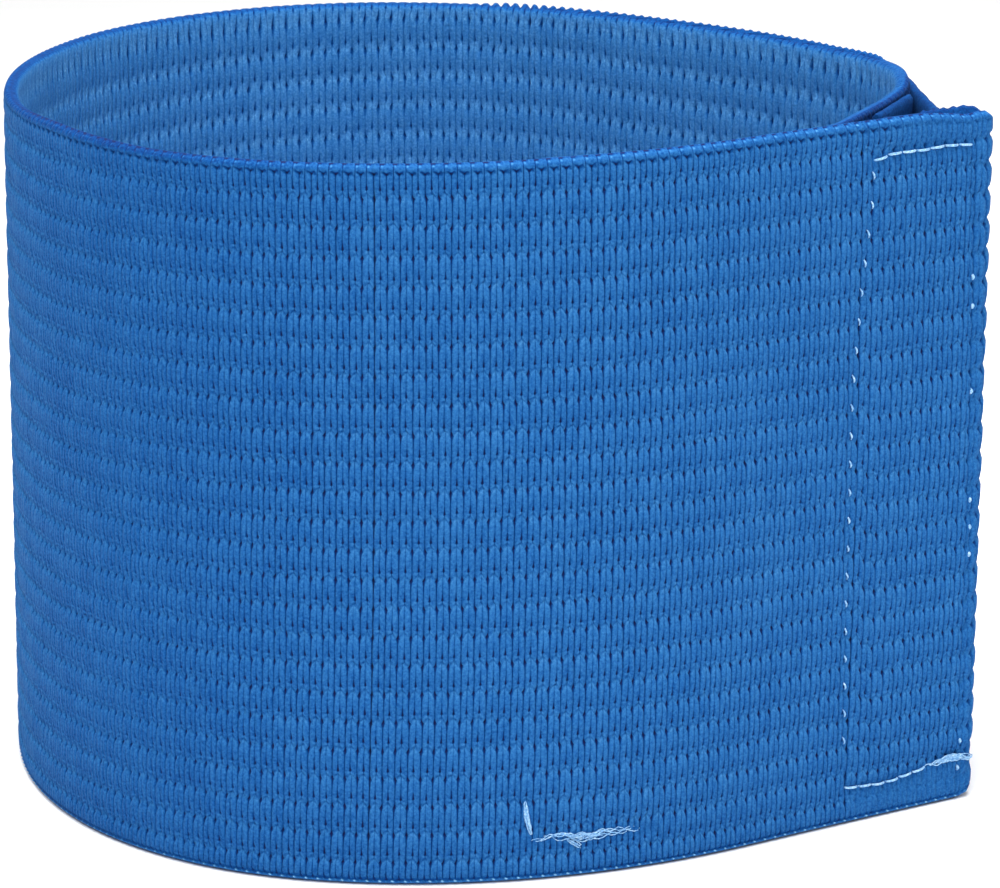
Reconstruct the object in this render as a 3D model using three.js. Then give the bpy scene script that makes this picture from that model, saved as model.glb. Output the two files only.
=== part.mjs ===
// Knitted elastic armband, closed by a woven hook tape on a loop tape, standing on its lower edge.
// Millimetres, +Z up. The front panel faces -Y and the closing is at the right, +X.
import * as THREE from "three";

// Driving sizes of the knitted strip
const BAND_HEIGHT = 75;
const CREST_OFFSET = 0.75; // from the strip's middle to the crest of a rib
const VALLEY_OFFSET = 0.5;
const EDGE_OFFSET = 0.55; // half the thickness of the top and bottom edges
const OUTER_RIBS = 25;
const INNER_RIBS = 20;
const BAND_LEAN = 1.8; // how much further right the ring stands at its top than at its foot
const CORNER_RADIUS = 2.4; // of the folded end's lower corner
const SEAT_GAP = 0.3; // between pieces that lie on each other

// Driving sizes of the woven tapes
const TAPE_THICKNESS = 1;
const TAPE_BEVEL = 0.25;
const HOOK_TAPE_FOOT = 2.5;
const HOOK_TAPE_TOP = 74.6;
const LOOP_TAPE_FOOT = 3;
const LOOP_TAPE_TOP = 74.2;

// Each step of a curved wall turns by no more than this
const WALL_STEP = 12;
const FOLD_STEP = 30;

// The strip seen from above, from the cut end inside the hem to the end of the underlap.
// A stretch is an arc: its length in mm and its turn in degrees, minus for clockwise.
const STRIP_START = { x: 39.62, y: -30.04, heading: 29.7 };
const STRIP_STRETCHES = [
  { name: "hem", length: 10.5, turn: 0 },
  { name: "hem beside the fold", length: 1.8, turn: 0 },
  { name: "fold", length: Math.PI, turn: -180 },
  { name: "front beside the fold", length: 1.8, turn: 0 },
  { name: "front right", length: 10, turn: 0.8 },
  { name: "front right", length: 16, turn: 0.7 },
  { name: "front", length: 16, turn: -13.3 },
  { name: "front", length: 18, turn: -18.1 },
  { name: "front", length: 14, turn: -16 },
  { name: "front left", length: 14, turn: -20.2 },
  { name: "front left", length: 16, turn: -20 },
  { name: "left", length: 18, turn: -18.4 },
  { name: "left", length: 20, turn: -17.5 },
  { name: "back left", length: 22, turn: -22.1 },
  { name: "back left", length: 22, turn: -33.3 },
  { name: "back", length: 22, turn: -39.3 },
  { name: "back", length: 24, turn: -29.4 },
  { name: "back right", length: 26, turn: -10.2 },
  { name: "back right", length: 17.2, turn: -14 },
  { name: "right", length: 17.1, turn: -29.4 },
  { name: "right", length: 4, turn: -3 },
  { name: "nose", length: 4, turn: -21.5 },
  { name: "underlap leaving the nose", length: 16.6, turn: 0 },
  { name: "underlap meeting the front", length: 5.6, turn: -34.6 },
  { name: "underlap", length: 7.7, turn: 0.3 },
  { name: "underlap", length: 15.6, turn: -13.3 },
  { name: "underlap", length: 7, turn: -7.3 },
];

// The hook tape seen from above, from behind the hem, bent back to the right wall's outer face
const HOOK_TAPE_START = { x: 40.86, y: -27.54, heading: 30.3 };
const HOOK_TAPE_STRETCHES = [
  { name: "behind the hem", length: 6.3, turn: 0 },
  { name: "bend", length: 1.6, turn: 63.6 },
  { name: "across the opening", length: 13.5, turn: 0 },
  { name: "onto the wall", length: 3, turn: -3.9 },
  { name: "on the wall", length: 10, turn: 17 },
];

// How far past the nose the loop tape starts, and its length along the underlap
const LOOP_TAPE_DELAY = 0.4;
const LOOP_TAPE_LENGTH = 10.5;

const radians = THREE.MathUtils.degToRad;

// A chain of arcs: pointAt gives the place and heading at a distance along it
function chainOf(start, stretches) {
  const arcs = [];
  let { x, y } = start;
  let heading = radians(start.heading);
  let from = 0;
  for (const { name, length, turn } of stretches) {
    const arc = { name, from, length, turn: radians(turn), x, y, heading };
    arcs.push(arc);
    ({ x, y, heading } = alongArc(arc, length));
    from += length;
  }
  const pointAt = (distance) => {
    const arc = arcs.findLast((a) => a.from <= distance) ?? arcs[0];
    return alongArc(arc, distance - arc.from);
  };
  return { arcs, length: from, pointAt };
}

// The place at a distance along one arc; past its ends a straight arc runs on
function alongArc(arc, distance) {
  const turned = (arc.turn * distance) / arc.length;
  const middle = arc.heading + turned / 2;
  const half = turned / 2;
  const chord = Math.abs(half) < 1e-9 ? distance : (distance * Math.sin(half)) / half;
  return {
    x: arc.x + chord * Math.cos(middle),
    y: arc.y + chord * Math.sin(middle),
    heading: arc.heading + turned,
  };
}

// Distances along the chain at which a section is placed
function sectionStops(chain, from, to) {
  const stops = [from];
  for (const arc of chain.arcs) {
    const largest = Math.abs(arc.turn) > Math.PI / 2 ? FOLD_STEP : WALL_STEP;
    const count = Math.max(1, Math.ceil(Math.abs(arc.turn) / radians(largest) - 1e-6));
    for (let i = 1; i <= count; i += 1) {
      const stop = arc.from + (arc.length * i) / count;
      if (stop > from + 0.2 && stop < to - 0.2) stops.push(stop);
    }
  }
  stops.push(to);
  return stops;
}

// A closed solid from a profile of (offset, z) points carried past the stops;
// placeAt turns a stop and a profile point into a point in space
function stripGeometry(profile, stops, placeAt) {
  const positions = [];
  for (const stop of stops) {
    for (const point of profile) positions.push(...placeAt(stop, point));
  }
  const count = profile.length;
  const triangles = [];
  for (let i = 0; i + 1 < stops.length; i += 1) {
    for (let j = 0; j < count; j += 1) {
      const a = i * count + j;
      const b = i * count + ((j + 1) % count);
      triangles.push(a, b, a + count, b, b + count, a + count);
    }
  }
  const last = (stops.length - 1) * count;
  for (const [a, b, c] of THREE.ShapeUtils.triangulateShape(profile, [])) {
    triangles.push(a, c, b);
    triangles.push(last + a, last + b, last + c);
  }
  const geometry = new THREE.BufferGeometry();
  geometry.setAttribute("position", new THREE.Float32BufferAttribute(positions, 3));
  geometry.setIndex(triangles);
  geometry.computeVertexNormals();
  return geometry;
}

// One face of the strip from bottom to top: crests between valleys, side +1 outside, -1 inside
function ribbedFace(ribs, side) {
  const points = [new THREE.Vector2(side * EDGE_OFFSET, 0)];
  const pitch = BAND_HEIGHT / ribs;
  for (let i = 0; i < ribs; i += 1) {
    points.push(new THREE.Vector2(side * CREST_OFFSET, pitch * (i + 0.5)));
    const last = i === ribs - 1;
    const offset = last ? EDGE_OFFSET : VALLEY_OFFSET;
    points.push(new THREE.Vector2(side * offset, pitch * (i + 1)));
  }
  return points;
}

function tapeProfile(foot, top) {
  const half = TAPE_THICKNESS / 2;
  const flat = half - TAPE_BEVEL;
  return [
    new THREE.Vector2(flat, foot),
    new THREE.Vector2(half, foot + TAPE_BEVEL),
    new THREE.Vector2(half, top - TAPE_BEVEL),
    new THREE.Vector2(flat, top),
    new THREE.Vector2(-flat, top),
    new THREE.Vector2(-half, top - TAPE_BEVEL),
    new THREE.Vector2(-half, foot + TAPE_BEVEL),
    new THREE.Vector2(-flat, foot),
  ];
}

// A point beside a place of the chain, to the left of the heading; the whole ring leans
function beside(place, offset, z) {
  const lean = BAND_LEAN * (z / BAND_HEIGHT - 0.5);
  return [
    place.x - offset * Math.sin(place.heading) + lean,
    place.y + offset * Math.cos(place.heading),
    z,
  ];
}

const stripChain = chainOf(STRIP_START, STRIP_STRETCHES);
const foldArc = stripChain.arcs.find((arc) => arc.name === "fold");
const noseArc = stripChain.arcs.find((arc) => arc.name === "nose");

// How far the lower corner of the folded end is rounded up
function cornerLift(distance) {
  const foldMiddle = foldArc.from + foldArc.length / 2;
  const inside = CORNER_RADIUS - Math.abs(distance - foldMiddle);
  if (inside <= 0) return 0;
  return CORNER_RADIUS - Math.sqrt(CORNER_RADIUS ** 2 - inside ** 2);
}

function stripPlace(distance, { x: offset, y: z }) {
  const lift = cornerLift(distance) * (1 - z / BAND_HEIGHT);
  return beside(stripChain.pointAt(distance), offset, z + lift);
}

function elasticBand() {
  const profile = [
    ...ribbedFace(OUTER_RIBS, 1),
    ...ribbedFace(INNER_RIBS, -1).reverse(),
  ];
  const stops = sectionStops(stripChain, 0, stripChain.length);
  const geometry = stripGeometry(profile, stops, stripPlace);
  const material = new THREE.MeshStandardMaterial({ color: 0x2d6eb9, roughness: 0.85, metalness: 0 });
  return namedMesh("elastic_band", geometry, material);
}

function hookTape() {
  const chain = chainOf(HOOK_TAPE_START, HOOK_TAPE_STRETCHES);
  const placeAt = (distance, { x: offset, y: z }) => beside(chain.pointAt(distance), offset, z);
  const stops = sectionStops(chain, 0, chain.length);
  const geometry = stripGeometry(tapeProfile(HOOK_TAPE_FOOT, HOOK_TAPE_TOP), stops, placeAt);
  return namedMesh("hook_tape", geometry, tapeMaterial());
}

// The loop tape lies on the outer face of the underlap, just past the nose
function loopTape() {
  const from = noseArc.from + noseArc.length + LOOP_TAPE_DELAY;
  const to = from + LOOP_TAPE_LENGTH;
  const seat = CREST_OFFSET + SEAT_GAP + TAPE_THICKNESS / 2;
  const placeAt = (distance, { x: offset, y: z }) =>
    beside(stripChain.pointAt(distance), seat + offset, z);
  const profile = tapeProfile(LOOP_TAPE_FOOT, LOOP_TAPE_TOP);
  const geometry = stripGeometry(profile, sectionStops(stripChain, from, to), placeAt);
  return namedMesh("loop_tape", geometry, tapeMaterial());
}

function tapeMaterial() {
  return new THREE.MeshStandardMaterial({ color: 0x10458f, roughness: 0.95, metalness: 0 });
}

function namedMesh(name, geometry, material) {
  const mesh = new THREE.Mesh(geometry, material);
  mesh.name = name;
  return mesh;
}

const armband = new THREE.Group();
armband.add(elasticBand(), hookTape(), loopTape());

export default armband;
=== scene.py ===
# Looks of a knitted elastic armband: the stitches of its strip, its napped tapes and its sewing threads.
# Lengths are worked out in millimetres in the part's own frame and become metres when a mesh is made.
import math
import random

import bpy
import numpy as np
from mathutils import Euler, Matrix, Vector


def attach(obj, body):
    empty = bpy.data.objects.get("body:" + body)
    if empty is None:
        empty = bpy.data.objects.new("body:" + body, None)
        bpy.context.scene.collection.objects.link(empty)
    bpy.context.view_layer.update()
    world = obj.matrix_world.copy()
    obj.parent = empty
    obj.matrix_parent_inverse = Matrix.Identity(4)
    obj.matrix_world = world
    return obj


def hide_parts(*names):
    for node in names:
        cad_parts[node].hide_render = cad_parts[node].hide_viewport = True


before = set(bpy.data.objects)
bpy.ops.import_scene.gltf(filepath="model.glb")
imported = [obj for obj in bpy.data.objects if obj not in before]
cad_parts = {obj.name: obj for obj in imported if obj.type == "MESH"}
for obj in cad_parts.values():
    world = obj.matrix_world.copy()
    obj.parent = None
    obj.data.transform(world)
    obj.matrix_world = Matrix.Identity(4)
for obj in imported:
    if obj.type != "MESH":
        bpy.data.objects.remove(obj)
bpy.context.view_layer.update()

METRES = 0.001
BAND_HEIGHT = 75.0
BAND_LEAN = 1.8
CORNER_RADIUS = 2.4

# The strip seen from above, from the cut end inside the hem to the end of the underlap.
# A stretch is an arc: its name, its length in mm and its turn in degrees, minus for clockwise.
STRIP_START = {"x": 39.62, "y": -30.04, "heading": 29.7}
STRIP_STRETCHES = [
    ("hem", 10.5, 0),
    ("hem beside the fold", 1.8, 0),
    ("fold", math.pi, -180),
    ("front beside the fold", 1.8, 0),
    ("front right", 10, 0.8),
    ("front right", 16, 0.7),
    ("front", 16, -13.3),
    ("front", 18, -18.1),
    ("front", 14, -16),
    ("front left", 14, -20.2),
    ("front left", 16, -20),
    ("left", 18, -18.4),
    ("left", 20, -17.5),
    ("back left", 22, -22.1),
    ("back left", 22, -33.3),
    ("back", 22, -39.3),
    ("back", 24, -29.4),
    ("back right", 26, -10.2),
    ("back right", 17.2, -14),
    ("right", 17.1, -29.4),
    ("right", 4, -3),
    ("nose", 4, -21.5),
    ("underlap leaving the nose", 16.6, 0),
    ("underlap meeting the front", 5.6, -34.6),
    ("underlap", 7.7, 0.3),
    ("underlap", 15.6, -13.3),
    ("underlap", 7, -7.3),
]

# The hook tape seen from above, from behind the hem, bent back to the right wall's outer face
HOOK_TAPE_START = {"x": 40.86, "y": -27.54, "heading": 30.3}
HOOK_TAPE_STRETCHES = [
    ("behind the hem", 6.3, 0),
    ("bend", 1.6, 63.6),
    ("across the opening", 13.5, 0),
    ("onto the wall", 3, -3.9),
    ("on the wall", 10, 17),
]
HOOK_TAPE_EDGES = {"foot": 2.5, "top": 74.6, "top_end": 73.9}
LOOP_TAPE_EDGES = {"foot": 3.0, "top": 74.85, "top_end": 74.5}
LOOP_TAPE_SEAT = 0.75 + 0.3 + 0.5
LOOP_TAPE_DELAY = 0.4
LOOP_TAPE_LENGTH = 10.5
TAPE_THICKNESS = 1.0

# Stitches along the strip on its outer face; and how long the inner face's are, as (distance, mm):
# they are drawn out where the right wall turns to the nose
OUTER_STITCHES = 292
INNER_PITCHES = [(0, 1.6), (245, 1.6), (275, 2.0), (300, 2.7), (314, 3.0), (335, 2.0), (375, 1.6)]

# Pieces of the strip: how many outer stitches each has, and how finely each face is made
BAND_PIECES = [
    {"name": "band_hem_and_fold", "stitches": 24, "outer": "fine", "inner": "plain"},
    {"name": "band_front_right", "stitches": 42, "outer": "fine", "inner": "fine"},
    {"name": "band_front_left", "stitches": 42, "outer": "fine", "inner": "fine"},
    {"name": "band_left", "stitches": 42, "outer": "fine", "inner": "fine"},
    {"name": "band_back", "stitches": 42, "outer": "fine", "inner": "fine"},
    {"name": "band_right", "stitches": 42, "outer": "fine", "inner": "fine"},
    {"name": "band_nose", "stitches": 34, "outer": "fine", "inner": "fine"},
    {"name": "band_underlap", "stitches": 24, "outer": "plain", "inner": "fine"},
]

# Ribs of the outer face, counted from the top edge: where the second one starts, their spacing, and the last
# one's height; then the same for the inner face, whose first rib is cut short by the edge
OUTER_RIBS = 25
OUTER_SECOND_RIB = 72.0
OUTER_RIB_PITCH = 3.022
OUTER_FOOT_RIB = 2.6
INNER_RIBS = 22
INNER_SECOND_RIB = 73.7
INNER_RIB_PITCH = 3.53

# How far each line of a stitch hangs under the tips of the arches, as a share of the rib
ARCH = {"between": 0.045, "side": 0.15, "inner": 0.0, "middle": 0.0}


def knit_row(down, arch, between, side, inner, middle, gaps=(0.05, 0.05)):
    """One row of a knitted rib. down is the share of the rib from its top, and arch how far the row bends
    round the stitch tips. Then come the height over the strip's middle in mm and the tone, 1 light and -1
    dark, of the groove between two stitches, of a strand's outer and inner side and of the groove in a
    stitch's middle. gaps are half the widths of the two grooves, as shares of a stitch."""
    return {"down": down, "arch": arch, "between": between, "side": side, "inner": inner,
            "middle": middle, "gaps": gaps, "dash": 0.0, "dip": 0.0, "rim": False}


# The rows' tones paint shade into the grooves between the strands, nearly black painted shade into the
# holes, and painted highlights onto the arches' tips
OUTER_RIB = [
    knit_row(0.00, 1.0, (0.36, -3.2), (0.66, 0.6), (0.68, 0.7), (0.58, -0.5), (0.20, 0.04)),
    knit_row(0.085, 0.8, (0.38, -2.7), (0.78, 0.4), (0.80, 0.3), (0.66, -0.6), (0.125, 0.05)),
    knit_row(0.26, 0.3, (0.50, -1.5), (0.83, 0.15), (0.85, 0.1), (0.72, -0.6), (0.085, 0.06)),
    knit_row(0.50, 0.0, (0.58, -1.1), (0.83, 0.05), (0.84, 0.0), (0.72, -0.8), (0.075, 0.065)),
    knit_row(0.66, 0.0, (0.60, -1.0), (0.82, 0.0), (0.80, -0.05), (0.56, -1.6), (0.07, 0.085)),
    knit_row(0.80, 0.0, (0.58, -1.0), (0.76, -0.05), (0.70, -0.1), (0.38, -3.0), (0.07, 0.13)),
    knit_row(0.855, 0.7, (0.54, -1.0), (0.70, -0.05), (0.66, 0.6), (0.50, -1.1), (0.08, 0.04)),
    knit_row(0.93, 0.95, (0.46, -1.2), (0.62, 0.1), (0.58, -0.3), (0.50, -0.8), (0.12, 0.04)),
]
INNER_RIB = [
    knit_row(0.00, 1.0, (0.36, -2.9), (0.74, 0.5), (0.74, 0.6), (0.60, -0.5), (0.19, 0.04)),
    knit_row(0.14, 0.8, (0.46, -2.0), (0.82, 0.1), (0.82, 0.05), (0.68, -0.6), (0.11, 0.05)),
    knit_row(0.48, 0.0, (0.62, -0.8), (0.83, 0.0), (0.83, 0.0), (0.74, -0.5), (0.06, 0.05)),
    knit_row(0.78, 0.1, (0.60, -0.8), (0.80, 0.05), (0.76, 0.1), (0.40, -2.8), (0.06, 0.13)),
    knit_row(0.90, 0.6, (0.52, -1.0), (0.72, 0.3), (0.68, 0.5), (0.54, -0.9), (0.10, 0.05)),
]
PLAIN_RIB = [
    knit_row(0.00, 0.0, (0.50, 0.0), (0.50, 0.0), (0.50, 0.0), (0.50, 0.0)),
    knit_row(0.50, 0.0, (0.78, 0.0), (0.78, 0.0), (0.78, 0.0), (0.78, 0.0)),
]


def edge_row(z, between, side, inner, middle, gaps=(0.05, 0.05), dash=0.0, dip=0.0, rim=False):
    """A row at a height of its own: dash paints a highlight onto one inner side, or shade where it is
    below 0, the groove between two stitches lies lower by the dip, and a rim row stands up in loops."""
    row = knit_row(0.0, 0.0, between, side, inner, middle, gaps)
    return {**row, "z": z, "dash": dash, "dip": dip, "rim": rim}


# The selvedge of the outer face: loops, the dents like a Y between them, the rim and the slits behind it.
# Its tones paint shade into the dents and the slits and a painted highlight onto each rim loop
OUTER_TOP = [
    edge_row(73.55, (0.58, -0.9), (0.80, 0.05), (0.82, 0.0), (0.60, -0.9), (0.06, 0.06)),
    edge_row(73.95, (0.50, -1.3), (0.76, 0.1), (0.80, 0.1), (0.52, -1.1), (0.08, 0.06)),
    edge_row(74.34, (0.42, -2.3), (0.58, -1.2), (0.80, 0.2), (0.50, -1.1), (0.22, 0.06), dip=0.27),
    edge_row(74.50, (0.76, 0.0), (0.73, -0.2), (0.75, 0.0), (0.48, -1.2), (0.28, 0.06), dip=0.1),
    edge_row(74.75, (0.66, -0.1), (0.64, -0.1), (0.60, -0.1), (0.42, -1.4), (0.22, 0.06), rim=True),
    edge_row(74.92, (0.44, 0.1), (0.44, 0.0), (0.42, 0.1), (0.36, -0.8), (0.20, 0.12), 1.4, rim=True),
    edge_row(75.12, (0.12, -0.2), (0.12, -0.9), (0.12, 0.0), (0.10, -2.4), (0.10, 0.16), -2.8, rim=True),
]
# The foot's selvedge: its lowest row is a little darker, painted shade where it meets the floor, and a light
# dot lies on each stitch above it
OUTER_FOOT = [
    edge_row(0.00, (0.40, -0.2), (0.40, -0.2), (0.40, -0.2), (0.40, -0.2)),
    edge_row(0.13, (0.62, 0.6), (0.60, 0.3), (0.60, 0.3), (0.60, 0.3), (0.20, 0.1)),
    edge_row(0.30, (0.82, 3.8), (0.66, -0.4), (0.66, -0.4), (0.70, 0.8), (0.20, 0.1)),
    edge_row(0.44, (0.56, -0.9), (0.54, -0.9), (0.54, -0.9), (0.50, -1.7), (0.10, 0.15)),
]
# The inner face's selvedge: its low tones paint shade into its grooves and across its rows
INNER_TOP = [
    edge_row(74.95, (0.36, -2.0), (0.50, -0.8), (0.50, -0.8), (0.40, -1.8), (0.10, 0.08)),
    edge_row(75.12, (0.10, -2.2), (0.12, -1.2), (0.12, -1.2), (0.10, -2.0), (0.12, 0.10)),
]
# The inner foot's lowest row is darker, painted shade where it meets the floor
INNER_FOOT = [
    edge_row(0.00, (0.40, -1.0), (0.40, -1.0), (0.40, -1.0), (0.40, -1.0)),
    edge_row(0.30, (0.62, 0.0), (0.62, 0.0), (0.62, 0.0), (0.62, 0.0)),
]

# How far each line of a stitch stands up in the rim's loops, as a share of the loop's height
RIM_LOOPS = {"between": 1.0, "side": 0.8, "inner": -0.2, "middle": -0.8}

# How far the stitches lie towards the left of an even spacing, as (length along the strip, mm); how much
# their columns lean from top to bottom, most at the left of the front; and how far they bow at both edges
COLUMN_SHIFTS = [(26, -0.3), (31, 0.2), (44, 0.2), (52, -0.3)]
COLUMN_LEAN = [(40, 0.0), (95, 1.1), (115, 1.9), (160, 0.6), (230, 0.0)]
LEAN_LEVEL = 0.65
COLUMN_BOW = 0.34

# Beside the sewn line at the left of the box stitch the rows step down, as (height, mm)
ROW_STEPS = [(3, 0.0), (16, 1.4), (24, 1.4), (40, 1.05), (56, 0.4), (68, 0.0)]
ROW_STEP_END = 16.2
ROW_STEP_WIDTH = 1.5

# Right of the middle of the front the upper half of the rows lies higher
ROW_RISE = 0.35
ROW_RISE_END = 45
ROW_RISE_WIDTH = 12
ROW_RISE_LEVELS = {"foot": 35, "foot_width": 15, "top": 74, "top_width": 2}

# The rows of the inner face hang at both sides, as (distance, mm), and less near the edges
INNER_SAG = [(165, 1.7), (190, 1.7), (210, 1.0), (232, 0.1), (248, 0.2), (262, 0.8)]
SAG_FADE_TOP = 2
SAG_FADE_FOOT = 20

# Painted light along the outer face, as (distance, amount): how strong the stitches' painted highlights and
# shade are, weaker where the left side turns away; the painted shade added to the stitches there; and the
# painted shade added to the rim
SIDE_EVENNESS = [(85, 1.0), (112, 0.6), (135, 1.0)]
SIDE_SHADE = [(75, 0.0), (105, -0.25), (125, -0.25), (160, 0.0)]
RIM_SHADE = [(85, 0.0), (110, -0.7), (160, -0.7), (215, -0.4)]

# The inner face is painted lighter, painted light that makes up for the shade inside the ring, and its
# painted highlights and shade are more even
INNER_PAINTED_LIGHT = 0.65
INNER_EVENNESS = 0.85

# Where the rim's painted highlights grow even and a little darker; where the front covers the hem and the
# underlap, and the painted shade there; and where the rim comes to the nose, with painted shade on it
RIM_DULL = {"start": 135, "width": 10, "share": 0.75, "tone": -0.1}
HEM_COVERED = {"end": 14, "width": 2, "level": 74.2}
UNDERLAP_COVERED = {"before_nose": 2, "width": 2}
COVERED_PAINTED_SHADE = -1.3
NOSE_RIM = {"before_nose": 14, "width": 6, "tone": -0.4}

# Between which heights each face's ribs have rows, which heights are no selvedge, and where the rims begin
OUTER_RIBS_BETWEEN = (0.48, 73.3)
INNER_RIBS_BETWEEN = (0.5, 74.8)
RIBS_FOOT = 0.5
RIBS_TOP = 74.4
OUTER_RIM = 75.0
INNER_RIM = 74.9

# How uneven the stitches are: how far each one and whole groups sway along the strip, as shares of a stitch,
# and stray in height, in mm; how far their lines stand out, in mm; and their tone. The edges stay even
UNEVEN = {"sway": 0.06, "slow_sway": 0.06, "height": 0.09, "slow_height": 0.07, "offset": 0.025,
          "tone": 0.14}
SLOW_SWAY_WAVE = 3.0
SLOW_HEIGHT_WAVE = 9.0
EVEN_EDGE = 1.2

# The fold presses its stitches flat and squeezes its ribs apart: how far it reaches to both sides, how much
# deeper the grooves between the ribs are there, and from which arch on a row belongs to a groove
FOLD_REACH = 3.4
FOLD_FADE = 1.6
FOLD_PRESS = 0.4
FOLD_GROOVE = 0.16
GROOVE_ARCH = 0.3

# Where and how much the box stitch's level lines press the knit flat, from 0 to 1; towards which height over
# the strip's middle and by which share at most; and the least height that is left
TOP_PRESS = {"level": 71.9, "end": 13.5, "share": 0.75}
FOOT_PRESS = {"level": 4.0, "end": 17.5, "share": 0.9}
PRESS_FADE = {"up": 0.6, "along": 2}
FLAT_OFFSET = 0.70
FLAT_SHARE = 0.5
LEAST_OFFSET = 0.12

# How far the top edge lies under its even height, as (distance from the folded end, mm); how far it rises
# before the nose, as (distance from the nose, mm); and above which height the rows follow it
TOP_DIPS = [
    (-12, 1.0), (-9, 0.9), (-7.5, 0.05), (-1, 0.05), (0, 0.15), (1.4, 0.2), (3.5, 0.5), (5.6, 0.13),
    (8.2, -0.16), (10.9, -0.26), (26, -0.29), (36, -0.19), (50, -0.11), (57, 0.0), (95, 0.0), (103, -0.2),
    (112, -0.4), (130, 0.0),
]
NOSE_RISE = [(-24, 0.0), (-12, 0.45), (-5, 0.85), (1, 0.85), (4, 0.3), (8, 0.0)]
TOP_DIP_LEVEL = 71
TOP_DIP_WIDTH = 4
UPPER_CORNER = 0.6

# Past the left side the rim's last row lies lower
RIM_DROP = 0.25
RIM_DROP_START = 130
RIM_DROP_WIDTH = 10
RIM_FOOT = 74.7
RIM_WIDTH = 0.3

# How high the selvedge loops stand up, in mm: everywhere, and what is added on the back and on the hem
LOOP_HEIGHTS = {"all": 0.04, "back": 0.32, "hem": 0.1}
LOOP_BACK_START = 235
LOOP_BACK_WIDTH = 5
LOOP_HEM_END = 13
LOOPS_BEFORE_NOSE = 13
LOOP_FADE = 2


def chain_of(start, stretches):
    """The arcs of a path seen from above, as arrays."""
    rows = []
    x, y, heading, begin = start["x"], start["y"], math.radians(start["heading"]), 0.0
    for _, length, degrees in stretches:
        turn = math.radians(degrees)
        rows.append((begin, length, turn, x, y, heading))
        half = turn / 2
        chord = length * (math.sin(half) / half if half else 1)
        x += chord * math.cos(heading + half)
        y += chord * math.sin(heading + half)
        heading += turn
        begin += length
    return {"arcs": np.array(rows), "length": begin}


def along(chain, distance):
    """x, y and heading at distances along a chain; past its ends the last arc runs on."""
    distance = np.asarray(distance, float)
    arcs = chain["arcs"]
    index = np.clip(np.searchsorted(arcs[:, 0], distance, side="right") - 1, 0, len(arcs) - 1)
    begin, length, turn, x, y, heading = np.moveaxis(arcs[index], -1, 0)
    gone = distance - begin
    half = turn * gone / length / 2
    chord = gone * np.sinc(half / math.pi)
    return x + chord * np.cos(heading + half), y + chord * np.sin(heading + half), heading + 2 * half


def beside(chain, distance, offset, z):
    """Points beside a chain, to the left of its heading; the whole ring leans."""
    x, y, heading = along(chain, distance)
    lean = BAND_LEAN * (z / BAND_HEIGHT - 0.5)
    return np.stack([x - offset * np.sin(heading) + lean, y + offset * np.cos(heading), z], axis=-1)


def rising(value, begin, width):
    """0 up to a beginning, 1 from a width past it on, even in between."""
    return np.clip((value - begin) / width, 0, 1)


def falling(value, end, width):
    """1 up to a width before an end, 0 from the end on, even in between."""
    return np.clip((end - value) / width, 0, 1)


def from_table(table, at):
    """Values at places, from pairs of a place and a value."""
    return np.interp(at, *np.transpose(table))


strip = chain_of(STRIP_START, STRIP_STRETCHES)
hook_chain = chain_of(HOOK_TAPE_START, HOOK_TAPE_STRETCHES)
stretch_names = [name for name, _, _ in STRIP_STRETCHES]
fold_arc = strip["arcs"][stretch_names.index("fold")]
nose_arc = strip["arcs"][stretch_names.index("nose")]
FOLD_MIDDLE = fold_arc[0] + fold_arc[1] / 2
NOSE_START = nose_arc[0]
NOSE_END = nose_arc[0] + nose_arc[1]
OUTER_PITCH = strip["length"] / OUTER_STITCHES

# The number of inner stitches up to places along the strip
INNER_AT = np.linspace(0, strip["length"], 3751)
INNER_STEPS = np.diff(INNER_AT) / from_table(INNER_PITCHES, INNER_AT[1:])
INNER_NUMBER = np.concatenate([[0], np.cumsum(INNER_STEPS)])

NOISE_VALUES = 4096
NOISE_CELLS = (512, 64)


def smooth_noise(values, wave, seed):
    """Even noise from -1 to 1 along one number, the same each run."""
    scaled = np.asarray(values, float) / wave
    whole = np.floor(scaled).astype(int)
    share = scaled - whole
    share = share * share * (3 - 2 * share)
    table = np.random.default_rng(seed).uniform(-1, 1, NOISE_VALUES)
    return table[whole % NOISE_VALUES] * (1 - share) + table[(whole + 1) % NOISE_VALUES] * share


def cell_noise(column, row, seed):
    """Noise from -1 to 1 for whole columns and rows."""
    table = np.random.default_rng(seed).uniform(-1, 1, NOISE_CELLS)
    return table[np.mod(column, NOISE_CELLS[0]), np.mod(row, NOISE_CELLS[1])]


def corner_lift(distance):
    """How far the lower corner of the folded end is rounded up."""
    inside = np.clip(CORNER_RADIUS - np.abs(distance - FOLD_MIDDLE), 0, CORNER_RADIUS)
    return CORNER_RADIUS - np.sqrt(CORNER_RADIUS ** 2 - inside ** 2)


def column_shift(distance, z):
    """How far a stitch lies to the left of its even place."""
    lean = from_table(COLUMN_LEAN, distance) * (LEAN_LEVEL - z / BAND_HEIGHT)
    bow = COLUMN_BOW * (2 * z / BAND_HEIGHT - 1) ** 2
    return from_table(COLUMN_SHIFTS, distance) + lean + bow


def row_step(distance, z):
    """How far the rows lie lower between the box stitch's left line and the fold, and higher past it."""
    from_fold = distance - FOLD_MIDDLE
    step = falling(from_fold, ROW_STEP_END, ROW_STEP_WIDTH) * from_table(ROW_STEPS, z)
    levels = ROW_RISE_LEVELS
    upper = rising(z, levels["foot"], levels["foot_width"]) * falling(z, levels["top"], levels["top_width"])
    return step - ROW_RISE * falling(from_fold, ROW_RISE_END, ROW_RISE_WIDTH) * upper


def folded(from_fold):
    """1 on the folded end and 0 away from it."""
    return falling(np.abs(from_fold), FOLD_REACH, FOLD_FADE)


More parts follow.
